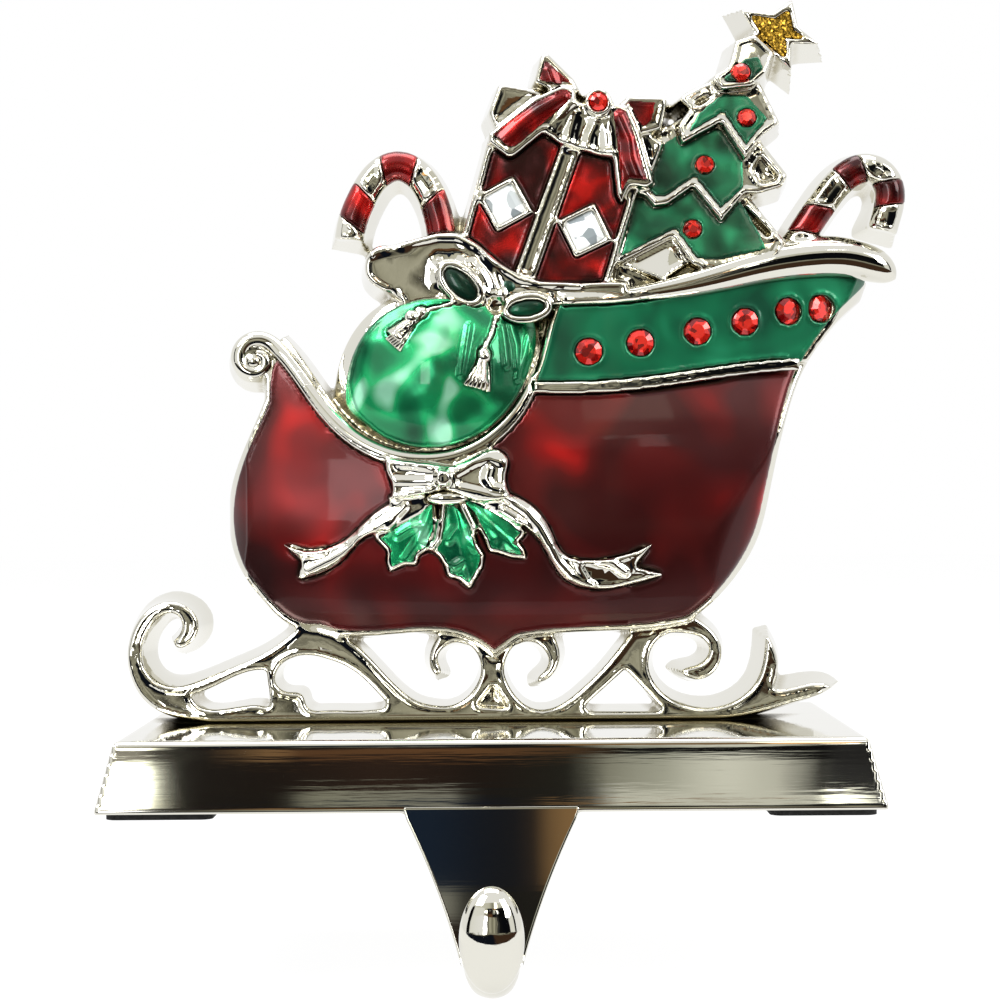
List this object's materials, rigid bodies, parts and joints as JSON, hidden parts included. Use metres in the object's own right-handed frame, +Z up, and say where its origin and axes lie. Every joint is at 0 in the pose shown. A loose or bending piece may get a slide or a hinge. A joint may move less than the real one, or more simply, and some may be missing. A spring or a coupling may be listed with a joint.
{
  "type": "mantel stocking holder",
  "caption": "Plated cast sleigh with enamel fills and set stones on a weighted base that stands on a mantel shelf, with a J hook over the edge for a stocking.",
  "frame": {"origin": "the mantel shelf's front top edge at the middle of the holder, where the underside of the pads' plane meets the plane of the arm's back", "axes": "+Z up, -Y out of the shelf's front face towards the room, +X to the right as seen from the room"},
  "size_m": [0.1396, 0.0908, 0.1675],
  "materials": {
    "plated_zinc": "bright nickel plate on die-cast zinc",
    "screw_steel": "zinc-plated screw",
    "pad_foam": "matte black non-slip foam",
    "red_enamel": "glossy translucent red enamel",
    "green_enamel": "glossy translucent green enamel",
    "gold_glitter": "gold glitter in clear resin",
    "red_stone": "faceted red stone",
    "clear_stone": "faceted clear stone with a foiled back"
  },
  "bodies": {
    "root": {"base_hook": "plated_zinc", "sleigh_casting": "plated_zinc", "base_screws": "screw_steel", "non_slip_pad_left": "pad_foam", "non_slip_pad_right": "pad_foam", "tub_enamel": "red_enamel", "band_enamel": "green_enamel", "sack_enamel": "green_enamel", "holly_enamel": "green_enamel", "gift_enamel": "red_enamel", "bow_enamel": "red_enamel", "tree_enamel": "green_enamel", "star_glitter": "gold_glitter", "cane_left_enamel": "red_enamel", "cane_right_enamel": "red_enamel", "band_stone_1": "red_stone", "band_stone_2": "red_stone", "band_stone_3": "red_stone", "band_stone_4": "red_stone", "band_stone_5": "red_stone", "band_stone_6": "red_stone", "tree_stone_1": "red_stone", "tree_stone_2": "red_stone", "tree_stone_3": "red_stone", "tree_stone_4": "red_stone", "bow_gem": "red_stone", "gift_stone_left": "clear_stone", "gift_stone_right": "clear_stone"}
  },
  "joints": []
}
